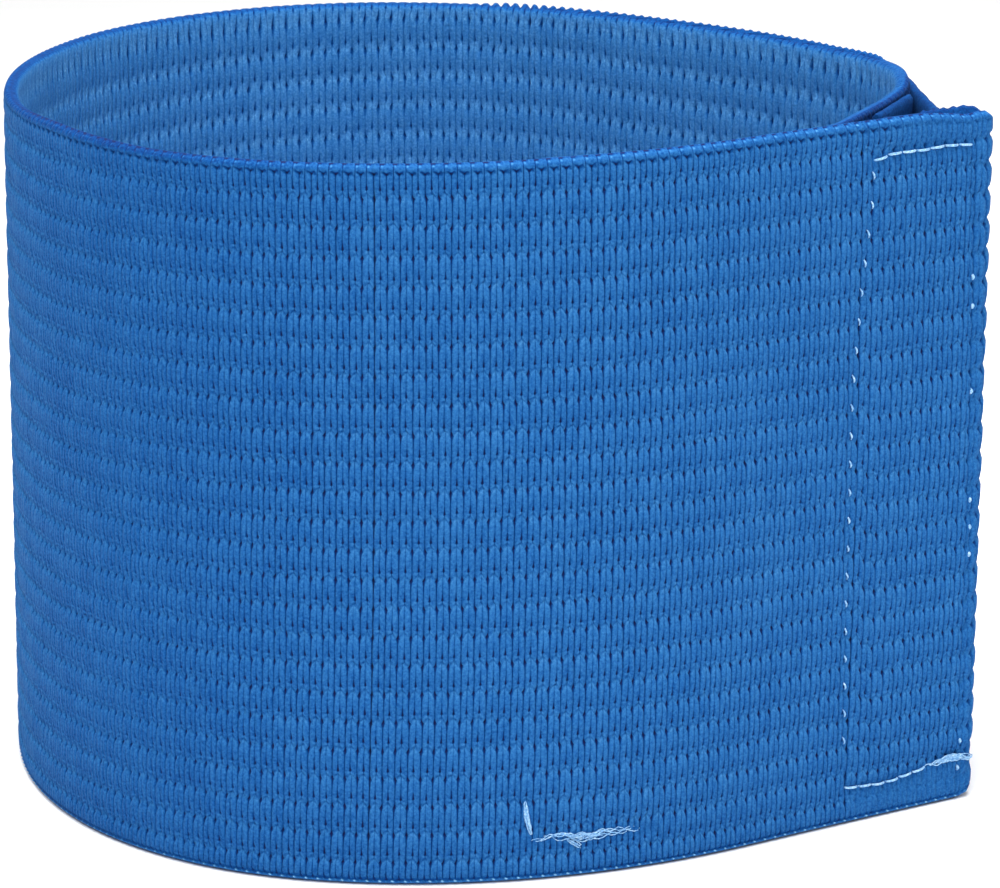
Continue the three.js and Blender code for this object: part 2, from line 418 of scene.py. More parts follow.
def pressed(from_fold, z):
    """How far the sewing and the fold press the stitches flat, from 0 to 1."""
    top = rising(z, TOP_PRESS["level"], PRESS_FADE["up"]) * (z < RIBS_TOP)
    top = top * falling(from_fold, TOP_PRESS["end"], PRESS_FADE["along"])
    foot = falling(z, FOOT_PRESS["level"], PRESS_FADE["up"]) * (z > RIBS_FOOT)
    foot = foot * falling(from_fold, FOOT_PRESS["end"], PRESS_FADE["along"])
    lines = np.maximum(TOP_PRESS["share"] * top, FOOT_PRESS["share"] * foot)
    return np.maximum(FOLD_PRESS * folded(from_fold), lines)


# Threads sewn through the front, as (distance from the folded end, height) in mm
BOX_TOP_LINE = [(15.5, 71.3), (13.2, 71.7), (11.2, 71.7), (8.7, 71.7), (6.6, 71.8), (5.0, 71.7), (3.0, 71.5)]
BOX_FOOT_LINE = [(17.1, 3.9), (15.0, 3.7), (12.5, 3.6), (10.4, 3.7), (8.0, 4.0), (6.6, 4.3)]
BOX_FOOT_TACK = [(7.0, 4.2), (5.6, 4.5), (3.8, 4.8), (2.2, 4.7), (0.6, 4.1), (-0.8, 3.5)]
BOX_LEFT_LINE = [(15.5, 70.0), (15.6, 66.7), (16.0, 63.5), (16.6, 58.2), (17.5, 46.8), (17.5, 34.6),
                 (17.6, 24.5), (17.5, 18.2), (17.4, 9.0), (17.2, 4.6)]
BOX_RIGHT_LINE = [(2.9, 70.6), (2.5, 57.4), (2.2, 43.0), (1.8, 28.0), (2.2, 6.4), (2.4, 3.4), (1.9, 1.0)]
SUNKEN_SPOTS = [57.4, 54.3, 45.1, 33.2, 30.2, 27.2, 6.4, 3.4]
TACK_UPRIGHT = [(54.3, 8.5), (54.2, 6.8), (53.9, 5.4), (53.6, 4.5)]
TACK_LINE = [(53.9, 3.9), (51.5, 4.5), (49.2, 4.3), (47.7, 4.1), (46.5, 4.3), (44.6, 4.4), (40.6, 4.2)]
TACK_TUFT = [(50.2, 4.2), (49.2, 3.6), (48.3, 2.9)]


def line_points(line, count):
    """Points spread evenly along a line of (distance from the fold, height)."""
    corners = np.array(line, float)
    steps = np.hypot(*np.diff(corners, axis=0).T)
    reach = np.concatenate([[0], np.cumsum(steps)])
    at = np.linspace(0, reach[-1], count)
    return np.stack([np.interp(at, reach, corners[:, 0]), np.interp(at, reach, corners[:, 1])], axis=-1)


# How the threads pull the knit in: depth in mm and half-width of each dent; how far a dent reaches, in
# half-widths; and how much it evens the painted light and paints shade into the dent, for each mm of depth
DENT_REACH = 3
DENT_POINTS = 60
DENT_EVENS = 1.8
DENT_EVENS_MOST = 0.6
DENT_PAINTED_SHADE = 0.5
DENTS = [
    {"line": BOX_TOP_LINE, "depth": 0.34, "width": 0.75},
    {"line": BOX_FOOT_LINE, "depth": 0.34, "width": 0.75},
    {"line": BOX_FOOT_TACK, "depth": 0.30, "width": 0.8},
    {"line": BOX_LEFT_LINE, "depth": 0.22, "width": 0.45},
    {"line": BOX_RIGHT_LINE, "depth": 0.26, "width": 0.5},
    {"line": TACK_UPRIGHT, "depth": 0.20, "width": 0.6},
    {"line": TACK_LINE, "depth": 0.30, "width": 0.7},
]


def dent_depth(from_fold, z):
    """How deep the sewn threads press the outer face in."""
    depth = np.zeros_like(z)
    for dent in DENTS:
        points = line_points(dent["line"], DENT_POINTS)
        reach = DENT_REACH * dent["width"]
        low, high = points.min(0) - reach, points.max(0) + reach
        near = (from_fold > low[0]) & (from_fold < high[0]) & (z > low[1]) & (z < high[1])
        if not near.any():
            continue
        gap = np.full(near.sum(), np.inf)
        for place, height in points:
            gap = np.minimum(gap, np.hypot(from_fold[near] - place, z[near] - height))
        depth[near] = np.maximum(depth[near], dent["depth"] * np.exp(-((gap / dent["width"]) ** 2)))
    return depth


# The lines of a stitch from left to right, on a finely made face and on a plain one
FINE_LINES = ["between", "side", "inner", "middle", "inner", "side"]
PLAIN_LINES = ["between", "middle"]


def ribbed_rows(rib_rows, tops, sizes, low, high):
    """The rows of one face's ribs that lie between two heights."""
    rows = []
    for rib, (top, size) in enumerate(zip(tops, sizes)):
        for row in rib_rows:
            z = top - row["down"] * size
            if low < z < high:
                rows.append({**row, "z": z, "rib": rib, "drop": row["arch"] * size})
    return rows


def face_rows(outer, fine):
    """All rows of one face from the foot up."""
    if outer:
        tops = [OUTER_SECOND_RIB + OUTER_RIB_PITCH * (1 - rib) for rib in range(OUTER_RIBS)]
        sizes = [OUTER_RIB_PITCH] * (OUTER_RIBS - 1) + [OUTER_FOOT_RIB]
        rows = ribbed_rows(OUTER_RIB if fine else PLAIN_RIB, tops, sizes, *OUTER_RIBS_BETWEEN)
        edges = OUTER_FOOT, OUTER_TOP
    else:
        tops = [INNER_SECOND_RIB + INNER_RIB_PITCH * (1 - rib) for rib in range(INNER_RIBS)]
        sizes = [INNER_RIB_PITCH] * INNER_RIBS
        rows = ribbed_rows(INNER_RIB if fine else PLAIN_RIB, tops, sizes, *INNER_RIBS_BETWEEN)
        edges = INNER_FOOT, INNER_TOP
    foot, top = [[{**row, "rib": rib, "drop": 0.0} for row in part]
                 for part, rib in zip(edges, (len(tops) - 1, 0))]
    return foot + sorted(rows, key=lambda row: row["z"]) + top


def top_dip(distance):
    """How far the top edge lies lower: under the box stitch's pull, and higher at the nose."""
    return from_table(TOP_DIPS, distance - FOLD_MIDDLE) - from_table(NOSE_RISE, distance - NOSE_START)


def rim_loops(distance):
    """How far the selvedge loops stand up along the upper edge: more on the back, none at the nose."""
    back = LOOP_HEIGHTS["back"] * rising(distance, LOOP_BACK_START, LOOP_BACK_WIDTH)
    hem = LOOP_HEIGHTS["hem"] * falling(distance, LOOP_HEM_END, LOOP_FADE)
    before_nose = falling(distance, NOSE_START - LOOPS_BEFORE_NOSE, LOOP_FADE)
    return (LOOP_HEIGHTS["all"] + back + hem) * before_nose


def row_values(rows, key):
    """One value of each row, as a column."""
    return np.array([row[key] for row in rows])[:, None]


def line_places(rows, fine):
    """Where each line of a stitch lies across it, as a share of the stitch, for every row."""
    between_gap, middle_gap = np.transpose([row["gaps"] for row in rows])
    start = 0 * between_gap
    middle = 0.5 + 0 * middle_gap
    if not fine:
        return [start, middle]
    return [start, between_gap, 0.5 - middle_gap, middle, 0.5 + middle_gap, 1 - between_gap]


def brought_to(tone, target, share):
    """A tone brought towards another one by a share from 0 to 1."""
    return tone * (1 - share) + target * share


def rim_by_nose(distance):
    """1 where the rim comes to the nose."""
    return rising(distance, NOSE_START - NOSE_RIM["before_nose"], NOSE_RIM["width"])


def outer_tone(tone, distance, level, rim):
    """The outer face's painted light: painted shade at the left side and on the rim, on the hem and underlap
    that the front covers, and on the rim by the nose.
    """
    dull = rising(distance, RIM_DULL["start"], RIM_DULL["width"]) * rim
    tone = tone * (1 - RIM_DULL["share"] * dull) + RIM_DULL["tone"] * dull
    tone = tone * from_table(SIDE_EVENNESS, distance) + from_table(SIDE_SHADE, distance)
    tone = tone + rim * from_table(RIM_SHADE, distance)
    hem = falling(distance, HEM_COVERED["end"], HEM_COVERED["width"]) * (level > HEM_COVERED["level"])
    underlap = rising(distance, NOSE_START - UNDERLAP_COVERED["before_nose"], UNDERLAP_COVERED["width"])
    tone = brought_to(tone, COVERED_PAINTED_SHADE, np.maximum(underlap * (level < OUTER_RIM), hem))
    return brought_to(tone, NOSE_RIM["tone"], rim_by_nose(distance) * (level >= OUTER_RIM))


def inner_tone(tone, distance, level):
    """The inner face's tone: painted lighter against the shade inside the ring, more even, and with painted
    shade at the rim and by the nose.
    """
    rim = level > INNER_RIM
    tone = INNER_EVENNESS * tone + INNER_PAINTED_LIGHT + rim * from_table(RIM_SHADE, distance)
    return brought_to(tone, NOSE_RIM["tone"], rim_by_nose(distance) * rim)


def sewn_face(offset, tone, distance, z, on_ribs, arch):
    """The outer face where the fold and the sewn threads press it: its lines' offsets, and tones with less
    painted light where it lies flat and painted shade in the dents.
    """
    from_fold = distance - FOLD_MIDDLE
    flat = pressed(from_fold, z)
    offset = offset + FLAT_SHARE * flat * (FLAT_OFFSET - offset) * on_ribs
    offset = offset - FOLD_GROOVE * folded(from_fold) * rising(arch, GROOVE_ARCH, 1 - GROOVE_ARCH)
    dent = dent_depth(from_fold, z)
    evened = np.clip(dent * DENT_EVENS, 0, DENT_EVENS_MOST)
    return np.maximum(offset - dent, LEAST_OFFSET), tone * (1 - flat) * (1 - evened) - DENT_PAINTED_SHADE * dent


def knitted_face(rows, first, count, places_along, side, fine, seed):
    """Points and tones of one face: a row for each of the rows, six columns for each stitch. places_along
    turns a number of stitches from the piece's start into a distance along the strip."""
    lines = FINE_LINES if fine else PLAIN_LINES
    per = len(lines)
    column = np.arange(count * per + 1)
    which = column % per
    shape = (len(rows), len(column))
    whole = first + column[None, :] // per + np.zeros(shape, int)
    rib = row_values(rows, "rib") + np.zeros(shape, int)
    rim = row_values(rows, "rim")
    share, offset, tone, drop, loop = (np.zeros(shape) for _ in range(5))
    for index, (line, place) in enumerate(zip(lines, line_places(rows, fine))):
        at = which == index
        share[:, at] = place[:, None]
        offset[:, at], tone[:, at] = np.transpose([row[line] for row in rows])[:, :, None]
        drop[:, at] = row_values(rows, "drop") * ARCH[line]
        loop[:, at] = rim * RIM_LOOPS[line]
    if fine:
        # The dash paints a highlight, or shade where it is below 0, onto the strands' inner sides
        tone[:, which == lines.index("inner")] += row_values(rows, "dash")
    drop[:, which == 0] += row_values(rows, "dip")
    bulge = np.sin(math.pi * share)
    level = row_values(rows, "z") - drop
    inside = (level > EVEN_EDGE) & (level < BAND_HEIGHT - EVEN_EDGE)
    sway = UNEVEN["sway"] * cell_noise(whole, rib, seed) * bulge ** 2
    sway += UNEVEN["slow_sway"] * smooth_noise(whole + share + 40 * rib, SLOW_SWAY_WAVE, seed + 1)
    sway[:, [0, -1]] = 0
    z = level + inside * UNEVEN["height"] * cell_noise(whole, rib, seed + 2) * bulge
    z = z + inside * UNEVEN["slow_height"] * smooth_noise(whole + share, SLOW_HEIGHT_WAVE, seed + 3)
    lines_stand = cell_noise(column[None, :] + per * first + 0 * whole, rib, seed + 4)
    offset = offset + inside * UNEVEN["offset"] * lines_stand
    tone_varies = UNEVEN["tone"] * cell_noise(whole, rib, seed + 5) * bulge
    distance = places_along(np.clip(whole - first + share + sway, 0, count))
    if side > 0:
        distance = np.clip(distance + column_shift(distance, level), 0, strip["length"])
        z = z - row_step(distance, level) + loop * rim_loops(distance)
        tone = outer_tone(tone, distance, level, rim) + tone_varies
        on_ribs = (level > RIBS_FOOT) * (level < RIBS_TOP)
        offset, tone = sewn_face(offset, tone, distance, z, on_ribs, row_values(rows, "arch"))
    else:
        sag = from_table(INNER_SAG, distance) * falling(z, BAND_HEIGHT, SAG_FADE_TOP)
        z = z - inside * sag * rising(z, 0, SAG_FADE_FOOT)
        tone = inner_tone(tone, distance, level) + tone_varies
    loops = (row_values(rows, "z") > RIM_FOOT) & (row_values(rows, "z") < RIM_FOOT + RIM_WIDTH) & rim
    last_row = rising(level, RIM_FOOT, RIM_WIDTH) * ~loops
    z = z - RIM_DROP * rising(distance, RIM_DROP_START, RIM_DROP_WIDTH) * last_row
    z = z + corner_lift(distance) * (1 - z / BAND_HEIGHT)
    dip = top_dip(distance) + UPPER_CORNER * corner_lift(distance)
    z = z - dip * rising(z, TOP_DIP_LEVEL, TOP_DIP_WIDTH)
    return beside(strip, distance, side * offset, z), tone


def zip_rows(left, right, left_at, right_at, turned):
    """Triangles that join two rows of points with different spacing."""
    triangles = []
    i, j = 0, 0
    while i + 1 < len(left) or j + 1 < len(right):
        step_left = j + 1 >= len(right) or (i + 1 < len(left) and left_at[i + 1] <= right_at[j + 1])
        if step_left:
            triangles.append((left[i], right[j], left[i + 1]))
            i += 1
        else:
            triangles.append((right[j], right[j + 1], left[i]))
            j += 1
    if turned:
        triangles = [(a, c, b) for a, b, c in triangles]
    return triangles


def grid_quads(rows, columns, base, turned):
    """Quads of a grid of points that are numbered row by row."""
    index = base + np.arange(rows * columns).reshape(rows, columns)
    a, b, c, d = index[:-1, :-1], index[:-1, 1:], index[1:, 1:], index[1:, :-1]
    corners = (a, d, c, b) if turned else (a, b, c, d)
    return np.stack(corners, axis=-1).reshape(-1, 4)


def make_mesh(name, points, quads, triangles, tone, flat_triangles=0):
    """A mesh of quads and triangles, given in mm; the last triangles are flat."""
    mesh = bpy.data.meshes.new(name)
    quads = np.asarray(quads, np.int32).reshape(-1, 4)
    triangles = np.asarray(triangles, np.int32).reshape(-1, 3)
    loops = np.concatenate([quads.ravel(), triangles.ravel()])
    starts = np.concatenate([np.arange(len(quads)) * 4, len(quads) * 4 + np.arange(len(triangles)) * 3])
    mesh.vertices.add(len(points))
    mesh.vertices.foreach_set("co", (np.asarray(points) * METRES).astype(np.float32).ravel())
    mesh.loops.add(len(loops))
    mesh.loops.foreach_set("vertex_index", loops)
    mesh.polygons.add(len(starts))
    mesh.polygons.foreach_set("loop_start", starts.astype(np.int32))
    smooth = np.ones(len(starts), bool)
    if flat_triangles:
        smooth[-flat_triangles:] = False
    mesh.polygons.foreach_set("use_smooth", smooth)
    attribute = mesh.attributes.new("tone", "FLOAT", "POINT")
    attribute.data.foreach_set("value", np.asarray(tone, np.float32).ravel())
    mesh.update(calc_edges=True)
    mesh.validate()
    piece = bpy.data.objects.new(name, mesh)
    bpy.context.scene.collection.objects.link(piece)
    return piece


OUTER_SEED = 11
INNER_SEED = 57


def band_piece(spec, first):
    """One closed length of the strip, with both faces, both edges and its two ends."""
    start = first * OUTER_PITCH
    length = spec["stitches"] * OUTER_PITCH
    outer_fine, inner_fine = spec["outer"] == "fine", spec["inner"] == "fine"
    outer_rows = face_rows(True, outer_fine)
    inner_rows = face_rows(False, inner_fine)
    inner_first, inner_last = np.interp((start, start + length), INNER_AT, INNER_NUMBER)
    inner_count = round(inner_last - inner_first)
    step = (inner_last - inner_first) / inner_count
    outer, outer_tones = knitted_face(
        outer_rows, first, spec["stitches"],
        lambda number: start + OUTER_PITCH * number,
        1, outer_fine, OUTER_SEED)
    inner, inner_tones = knitted_face(
        inner_rows, round(inner_first), inner_count,
        lambda number: np.interp(inner_first + step * number, INNER_NUMBER, INNER_AT),
        -1, inner_fine, INNER_SEED)
    base = outer.shape[0] * outer.shape[1]
    quads = np.concatenate([
        grid_quads(*outer.shape[:2], 0, True),
        grid_quads(*inner.shape[:2], base, False),
    ])
    outer_index = np.arange(base).reshape(outer.shape[:2])
    inner_index = base + np.arange(inner.shape[0] * inner.shape[1]).reshape(inner.shape[:2])
    outer_at = np.linspace(0, 1, outer.shape[1])
    inner_at = np.linspace(0, 1, inner.shape[1])
    edges = zip_rows(outer_index[-1], inner_index[-1], outer_at, inner_at, False)
    edges += zip_rows(outer_index[0], inner_index[0], outer_at, inner_at, True)
    caps = []
    for column, turned in ((0, False), (-1, True)):
        caps += zip_rows(outer_index[:, column], inner_index[:, column],
                         outer[:, column, 2], inner[:, column, 2], turned)
    points = np.concatenate([outer.reshape(-1, 3), inner.reshape(-1, 3)])
    tone = np.concatenate([outer_tones.ravel(), inner_tones.ravel()])
    piece = make_mesh(spec["name"], points, quads, edges + caps, tone, len(caps))
    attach(piece, "root")
    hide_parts("elastic_band")
    return piece


def new_material(name):
    """A material with its node tree and shader."""
    material = bpy.data.materials.new(name)
    material.use_nodes = True
    tree = material.node_tree
    return material, tree, tree.nodes["Principled BSDF"]


def linear(red, green, blue):
    """A colour given as 0-255 display values, in linear light."""
    def channel(value):
        value /= 255
        return value / 12.92 if value <= 0.04045 else ((value + 0.055) / 1.055) ** 2.4
    return (channel(red), channel(green), channel(blue), 1.0)


def noise_node(tree, scale, detail, roughness=0.6):
    """Fine noise in the part's own frame, as many waves to the metre as its scale says."""
    coordinates = tree.nodes.new("ShaderNodeTexCoord")
    noise = tree.nodes.new("ShaderNodeTexNoise")
    noise.inputs["Scale"].default_value = scale
    noise.inputs["Detail"].default_value = detail
    noise.inputs["Roughness"].default_value = roughness
    tree.links.new(coordinates.outputs["Object"], noise.inputs["Vector"])
    return noise.outputs["Fac"]


def math_node(tree, operation, *values):
    """A sum or product of numbers and other nodes' outputs."""
    node = tree.nodes.new("ShaderNodeMath")
    node.operation = operation
    for socket, value in zip(node.inputs, values):
        if isinstance(value, (int, float)):
            socket.default_value = value
        else:
            tree.links.new(value, socket)
    return node.outputs["Value"]


def ramp_node(tree, factor, stops):
    """Colours from a factor, between stops of a position and a colour."""
    ramp = tree.nodes.new("ShaderNodeValToRGB")
    while len(ramp.color_ramp.elements) < len(stops):
        ramp.color_ramp.elements.new(0.5)
    for element, (position, colour) in zip(ramp.color_ramp.elements, stops):
        element.position = position
        element.color = colour
    tree.links.new(factor, ramp.inputs["Fac"])
    return ramp.outputs["Color"]


def bump_node(tree, height, distance, strength):
    """Relief from a factor, so many metres deep."""
    bump = tree.nodes.new("ShaderNodeBump")
    bump.inputs["Distance"].default_value = distance
    bump.inputs["Strength"].default_value = strength
    tree.links.new(height, bump.inputs["Height"])
    return bump.outputs["Normal"]


def dress(tree, shader, colour, relief, settings):
    """Give a shader its colour, its relief and its other settings."""
    tree.links.new(colour, shader.inputs["Base Color"])
    tree.links.new(relief, shader.inputs["Normal"])
    for name, value in settings.items():
        shader.inputs[name].default_value = value


# How much fine fibre and wide patches vary the knit's tone, and the range of tones that the ramp covers
FIBRE_TONE = 2.6
PATCH_TONE = 0.3
TONE_RANGE = 3.8


def knit_material():
    """Fuzzy textured yarn mottled like fine fibre: painted highlights on the tips, painted shade in the
    grooves and nearly black painted shade in the holes.
    """
    material, tree, shader = new_material("knitted_elastic_yarn")
    tone = tree.nodes.new("ShaderNodeAttribute")
    tone.attribute_name = "tone"
    fibre = noise_node(tree, scale=3600, detail=3)
    patch = noise_node(tree, scale=160, detail=2)
    fibre_share = math_node(tree, "MULTIPLY_ADD", fibre, FIBRE_TONE, -FIBRE_TONE / 2)
    patch_share = math_node(tree, "MULTIPLY_ADD", patch, PATCH_TONE, -PATCH_TONE / 2)
    varied = math_node(tree, "ADD", tone.outputs["Fac"], fibre_share)
    varied = math_node(tree, "ADD", varied, patch_share)
    place = math_node(tree, "MULTIPLY_ADD", varied, 1 / TONE_RANGE, 0.5)
    # The ramp's dark end gives the painted shade of grooves and holes, its light end the painted highlights
    colour = ramp_node(tree, place, [
        (0.00, linear(20, 30, 80)),
        (0.12, linear(4, 46, 108)),
        (0.34, linear(6, 71, 137)),
        (0.50, linear(30, 94, 158)),
        (0.66, linear(46, 111, 173)),
        (0.90, linear(78, 140, 196)),
        (1.00, linear(132, 186, 230)),
    ])
    relief = bump_node(tree, fibre, distance=0.00018, strength=0.7)
    dress(tree, shader, colour, relief, {
        "Roughness": 0.85,
        "Sheen Weight": 0.08,
        "Sheen Roughness": 0.5,
        "Sheen Tint": linear(120, 175, 235),
        "Specular IOR Level": 0.1,
    })
    return material


NAP_SHARE = 0.75


def tape_material():
    """Napped tape with a short uneven pile, coloured dark: partly its own darker nap, partly painted shade
    of the gap it lies in.
    """
    material, tree, shader = new_material("napped_tape")
    nap = noise_node(tree, scale=2600, detail=4, roughness=0.7)
    patch = noise_node(tree, scale=420, detail=2)
    patch_share = math_node(tree, "MULTIPLY", patch, 1 - NAP_SHARE)
    mixed = math_node(tree, "MULTIPLY_ADD", nap, NAP_SHARE, patch_share)
    colour = ramp_node(tree, mixed, [
        (0.30, linear(10, 32, 80)),
        (0.45, linear(6, 54, 112)),
        (0.60, linear(9, 68, 130)),
        (0.75, linear(22, 86, 152)),
    ])
    relief = bump_node(tree, mixed, distance=0.00025, strength=0.9)
    dress(tree, shader, colour, relief, {
        "Roughness": 0.95,
        "Sheen Weight": 0.08,
        "Sheen Roughness": 0.4,
        "Sheen Tint": linear(60, 120, 190),
        "Specular IOR Level": 0.1,
    })
    return material


def thread_material():
    """Pale blue sewing thread, twisted."""
    material, tree, shader = new_material("sewing_thread")
    twist = noise_node(tree, scale=4000, detail=2)
    colour = ramp_node(tree, twist, [
        (0.30, linear(88, 148, 206)),
        (0.52, linear(136, 188, 230)),
        (0.72, linear(194, 226, 248)),
    ])
    relief = bump_node(tree, twist, distance=0.0001, strength=0.4)
    dress(tree, shader, colour, relief, {"Roughness": 0.55, "Sheen Weight": 0.1})
    return material


# How a tape is made, in mm: the steps along and up it, the size of its rounded corners, and how far its pile
# and its edges are uneven
TAPE_STEP = 0.3
TAPE_ROW = 0.75
TAPE_CORNER = 0.28
TAPE_PILE = 0.035
TAPE_PILE_SEED = 5
TAPE_WANDER = 0.05
TAPE_WANDER_WAVE = 1.3
TAPE_WANDER_SEED = 9
TAPE_END_FADE = 0.15


def tape_piece(name, chain, start, length, seat, edges, node):
    """A napped tape: a thin strip with rounded edges and an uneven pile, along a chain."""
    height = edges["top"] - edges["foot"]
    edge_levels = np.array([0, 0.1, 0.3])
    middle_levels = np.arange(1.0, height - 0.9, TAPE_ROW)
    levels = np.concatenate([edge_levels, middle_levels, height - edge_levels[::-1]])
    inset = np.maximum(0, TAPE_CORNER - np.minimum(levels, height - levels))
    face = np.stack([TAPE_THICKNESS / 2 - inset, edges["foot"] + levels], axis=-1)
    profile = np.concatenate([face, face[::-1] * (-1, 1)])
    across, up = profile.T[:, None, :]
    count = round(length / TAPE_STEP) + 1
    at = np.linspace(0, length, count)
    distance = start + at[:, None] + 0 * across
    pile = np.random.default_rng(TAPE_PILE_SEED).uniform(-1, 1, distance.shape) * TAPE_PILE
    ends = np.minimum(at, length - at)[:, None]
    thin = 1 - 0.5 * np.exp(-ends / TAPE_END_FADE)
    offset = seat + (across + np.sign(across) * pile) * thin
    z = up + TAPE_WANDER * smooth_noise(distance, TAPE_WANDER_WAVE, TAPE_WANDER_SEED)
    slope = (edges["top_end"] - edges["top"]) * at[:, None] / length
    z = z + slope * (up - edges["foot"]) / height
    points = beside(chain, distance, offset, z)
    per = len(profile)
    index = np.arange(count * per).reshape(count, per)
    following = np.roll(index, -1, axis=1)
    quads = np.stack([index[:-1], following[:-1], following[1:], index[1:]], axis=-1).reshape(-1, 4)
    caps = []
    for i in range(per // 2 - 1):
        a, b, c, d = i, i + 1, per - 2 - i, per - 1 - i
        caps += [(a, d, c), (a, c, b)]
    last = index[-1, 0]
    caps += [(last + a, last + c, last + b) for a, b, c in caps]
    piece = make_mesh(name, points.reshape(-1, 3), quads, caps, np.zeros(count * per), len(caps))
    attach(piece, "root")
    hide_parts(node)
    return piece


TUBE_SIDES = 6


def thread_tubes(name, lines, material):
    """Thin tubes for sewn stitches, each a list of (from fold, height, lift over the strip, radius)."""
    points, quads, triangles = [], [], []
    base = 0
    for line in lines:
        line = np.array(line, float)
        centre = beside(strip, FOLD_MIDDLE + line[:, 0], line[:, 2], line[:, 1])
        tangent = np.gradient(centre, axis=0)
        tangent /= np.linalg.norm(tangent, axis=1, keepdims=True)
        _, _, heading = along(strip, FOLD_MIDDLE + line[:, 0])
        outward = np.stack([-np.sin(heading), np.cos(heading), 0 * heading], axis=-1)
        across = np.cross(tangent, outward)
        across /= np.linalg.norm(across, axis=1, keepdims=True)
        outward = np.cross(across, tangent)
        for side in range(TUBE_SIDES):
            angle = 2 * math.pi * side / TUBE_SIDES
            ring = centre + line[:, 3:4] * (math.cos(angle) * outward + math.sin(angle) * across)
            points.append(ring)
        count = len(line)
        index = base + np.arange(TUBE_SIDES * count).reshape(TUBE_SIDES, count)
        following = np.roll(index, -1, axis=0)
        quads.append(np.stack([index[:, :-1], index[:, 1:], following[:, 1:], following[:, :-1]],
                              axis=-1).reshape(-1, 4))
        for side in range(1, TUBE_SIDES - 1):
            triangles.append((index[0, 0], index[side, 0], index[side + 1, 0]))
            triangles.append((index[0, -1], index[side + 1, -1], index[side, -1]))
        base += TUBE_SIDES * count
    piece = make_mesh(name, np.concatenate(points), np.concatenate(quads), triangles, np.zeros(base))
    piece.data.materials.append(material)
    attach(piece, "root")
    return piece


# The box stitch's level lines: a stitch's length, the gap between two as a share of it, the height over the
# strip's middle of a stitch and of its ends, and how far it strays
STITCH_LENGTH = 1.8
STITCH_GAP = 0.10
STITCH_LIFT = 0.80
STITCH_SUNK = 0.42
STITCH_WANDER = 0.05
STITCH_POINTS = 11
PATH_POINTS = 400

# A back-tacked thread's strands: how many points each has, and how high their ends lie
STRAND_POINTS = 32
LAST_POINT = STRAND_POINTS - 1
STRAND_SUNK = 0.35
STRAND_WAVE_STEP = 0.56

# The glimpses of the box stitch's upright lines: how many points each has, how far their ends sink in, and
# where those of the left line are: so far above the tops of the ribs between two heights
SPOT_POINTS = 9
SPOT_SUNK = 0.30
SPOT_OVER_RIB = 0.75
LEFT_SPOTS_BETWEEN = (6, 69)


def lockstitches(line, radius, seed):
    """Stitches along a sewn line, each one dipping into the knit at both ends."""
    draw = random.Random(seed)
    corners = np.array(line, float)
    length = np.hypot(*np.diff(corners, axis=0).T).sum()
    count = max(1, round(length / STITCH_LENGTH))
    path = line_points(line, PATH_POINTS)
    reach = np.linspace(0, length, PATH_POINTS)
    made = []
    for i in range(count):
        begin = length * (i + STITCH_GAP / 2) / count
        end = length * (i + 1 - STITCH_GAP / 2) / count
        wander = draw.uniform(-STITCH_WANDER, STITCH_WANDER)
        rows = []
        for share in np.linspace(0, 1, STITCH_POINTS):
            at = begin + (end - begin) * share
            up = math.sin(math.pi * share) ** 0.35
            rows.append((np.interp(at, reach, path[:, 0]), np.interp(at, reach, path[:, 1]) + wander,
                         STITCH_LIFT * up + STITCH_SUNK * (1 - up), radius * (0.7 + 0.3 * up)))
        made.append(rows)
    return made


def frayed_strands(line, strands, spread, sway, lift, radius, seed):
    """Back-tacked thread: many thin strands that wander beside a line."""
    draw = random.Random(seed)
    made = []
    for _ in range(strands):
        first, last = sorted((draw.uniform(0, 0.35), draw.uniform(0.6, 1.0)))
        path = line_points(line, STRAND_POINTS)[int(first * LAST_POINT):int(last * LAST_POINT) + 1]
        side = draw.uniform(-spread, spread)
        phase = draw.uniform(0, 6.28)
        wave = draw.uniform(1.2, 2.6)
        up = lift * draw.uniform(0.8, 1.15)
        rows = []
        run, rise = (path[-1] - path[0]) / np.hypot(*(path[-1] - path[0]))
        for i, (place, height) in enumerate(path):
            share = i / max(1, len(path) - 1)
            ease = math.sin(math.pi * share) ** 0.4
            shift = side * ease + sway * math.sin(phase + wave * i * STRAND_WAVE_STEP)
            rows.append((place - rise * shift, height + run * shift, STRAND_SUNK * (1 - ease) + up * ease,
                         radius * (0.6 + 0.4 * ease)))
        made.append(rows)
    return made


def seam_spots(line, heights, lift, radius, tall, slant):
    """Short upright glimpses of a seam's thread that has sunk into the knit, one at each height."""
    path = np.array(line, float)
    made = []
    for height in heights:
        place = np.interp(-height, -path[:, 1], path[:, 0])
        rows = []
        for share in np.linspace(0.0, 1.0, SPOT_POINTS):
            end = (2 * share - 1) ** 2
            rows.append((place + slant * (0.5 - share), height + tall * (0.5 - share),
                         lift - SPOT_SUNK * end, radius * (1 - 0.5 * end)))
        made.append(rows)
    return made


